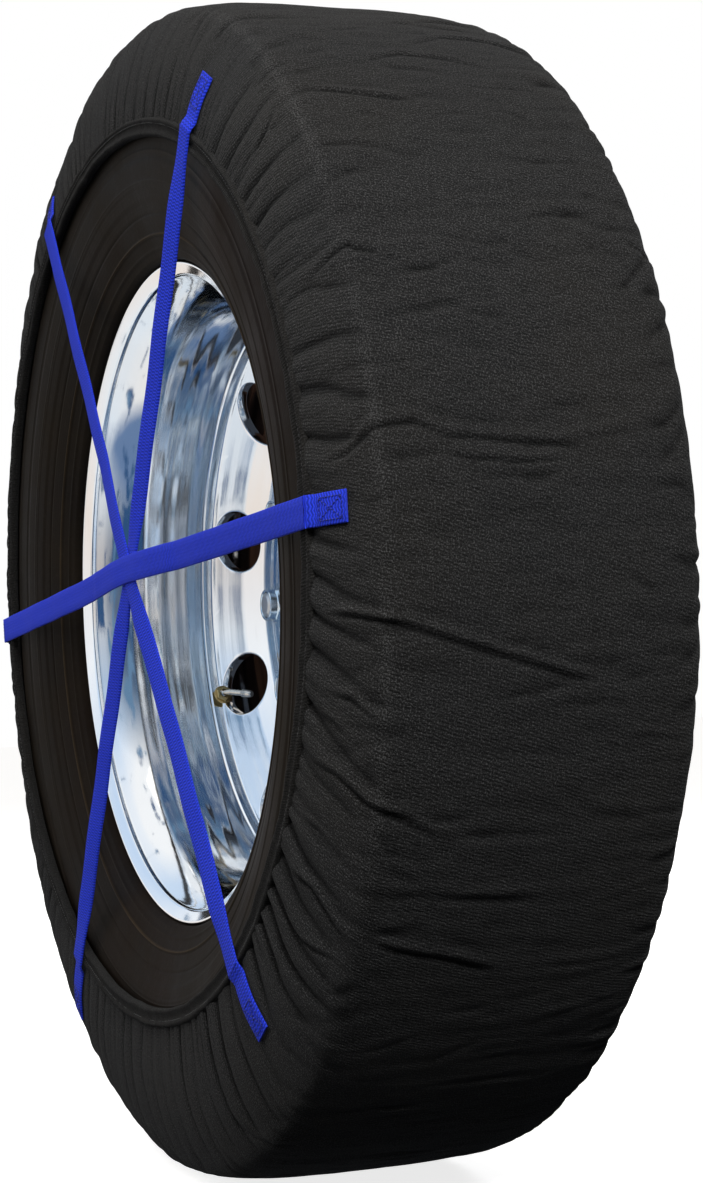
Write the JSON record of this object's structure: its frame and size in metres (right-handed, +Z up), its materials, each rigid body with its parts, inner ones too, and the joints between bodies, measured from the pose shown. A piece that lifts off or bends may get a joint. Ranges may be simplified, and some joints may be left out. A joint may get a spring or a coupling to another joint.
{
  "type": "snow sock tire",
  "caption": "Truck wheel end with a tyre on a polished dished wheel, wearing a textile snow sock held by crossing straps; it spins on its spindle.",
  "frame": {"origin": "the wheel's centre: on the spin axis, midway between the two rim flanges", "axes": "+Y along the spin axis towards the inboard side, so the sock's opening, its straps and the lug nuts face -Y; +Z up"},
  "size_m": [1.054, 0.3714, 1.054],
  "materials": {
    "tyre": "matt black-brown moulded rubber",
    "wheel": "mirror-polished forged aluminium",
    "sock": "charcoal-black fuzzy twill",
    "hem": "black folded binding",
    "webbing": "royal-blue woven webbing",
    "bolt_steel": "bright zinc-plated steel",
    "valve_metal": "nickel-plated brass",
    "brass": "plain brass",
    "rubber": "black moulded rubber",
    "lead": "dull grey stick-on weight",
    "cast_iron": "cast iron with a film of rust",
    "hub_paint": "black painted casting",
    "forged_steel": "dark machined forging",
    "bearing_steel": "ground bearing steel",
    "cap_metal": "plain cast aluminium cap"
  },
  "bodies": {
    "spindle": {"spindle": "forged_steel", "outer_bearing_cone": "bearing_steel", "inner_bearing_cone": "bearing_steel", "spindle_washer": "bolt_steel", "spindle_nut": "bolt_steel", "spindle_lock_washer": "bolt_steel", "spindle_jam_nut": "bolt_steel"},
    "wheel": {"tyre": "tyre", "wheel": "wheel", "balance_weight": "lead", "sock_tread_panel": "sock", "sock_outer_wall": "sock", "sock_inner_wall": "sock", "sock_outer_hem": "hem", "sock_inner_elastic": "hem", "strap_a": "webbing", "strap_b": "webbing", "strap_c": "webbing", "valve_stem": "valve_metal", "valve_nut": "brass", "valve_grommet": "rubber", "valve_cap": "valve_metal", "brake_drum": "cast_iron", "hub": "hub_paint", "outer_bearing_cup": "bearing_steel", "inner_bearing_cup": "bearing_steel", "oil_seal": "rubber", "hub_cap": "cap_metal", "hub_cap_gasket": "rubber", "wheel_stud_01": "bolt_steel", "wheel_stud_02": "bolt_steel", "wheel_stud_03": "bolt_steel", "wheel_stud_04": "bolt_steel", "wheel_stud_05": "bolt_steel", "wheel_stud_06": "bolt_steel", "wheel_stud_07": "bolt_steel", "wheel_stud_08": "bolt_steel", "wheel_stud_09": "bolt_steel", "wheel_stud_10": "bolt_steel", "lug_nut_01": "bolt_steel", "lug_nut_02": "bolt_steel", "lug_nut_03": "bolt_steel", "lug_nut_04": "bolt_steel", "lug_nut_05": "bolt_steel", "lug_nut_06": "bolt_steel", "lug_nut_07": "bolt_steel", "lug_nut_08": "bolt_steel", "lug_nut_09": "bolt_steel", "lug_nut_10": "bolt_steel", "hub_cap_screw_01": "bolt_steel", "hub_cap_screw_02": "bolt_steel", "hub_cap_screw_03": "bolt_steel", "hub_cap_screw_04": "bolt_steel", "hub_cap_screw_05": "bolt_steel", "hub_cap_screw_06": "bolt_steel"},
    "outer_rollers": {"outer_bearing_rollers": "bearing_steel"},
    "inner_rollers": {"inner_bearing_rollers": "bearing_steel"}
  },
  "joints": [
    {"name": "wheel_spin", "type": "hinge", "parent": "spindle", "child": "wheel", "pos_m": [0, 0, 0], "axis": [0, 1, 0], "continuous": true},
    {"name": "outer_roller_spin", "type": "hinge", "parent": "spindle", "child": "outer_rollers", "pos_m": [0, 0.0662, 0], "axis": [0, 1, 0], "continuous": true},
    {"name": "inner_roller_spin", "type": "hinge", "parent": "spindle", "child": "inner_rollers", "pos_m": [0, 0.154, 0], "axis": [0, 1, 0], "continuous": true}
  ],
  "couplings": [
    {"joint": "outer_roller_spin", "follows": "wheel_spin", "ratio": 0.553},
    {"joint": "inner_roller_spin", "follows": "wheel_spin", "ratio": 0.549}
  ]
}
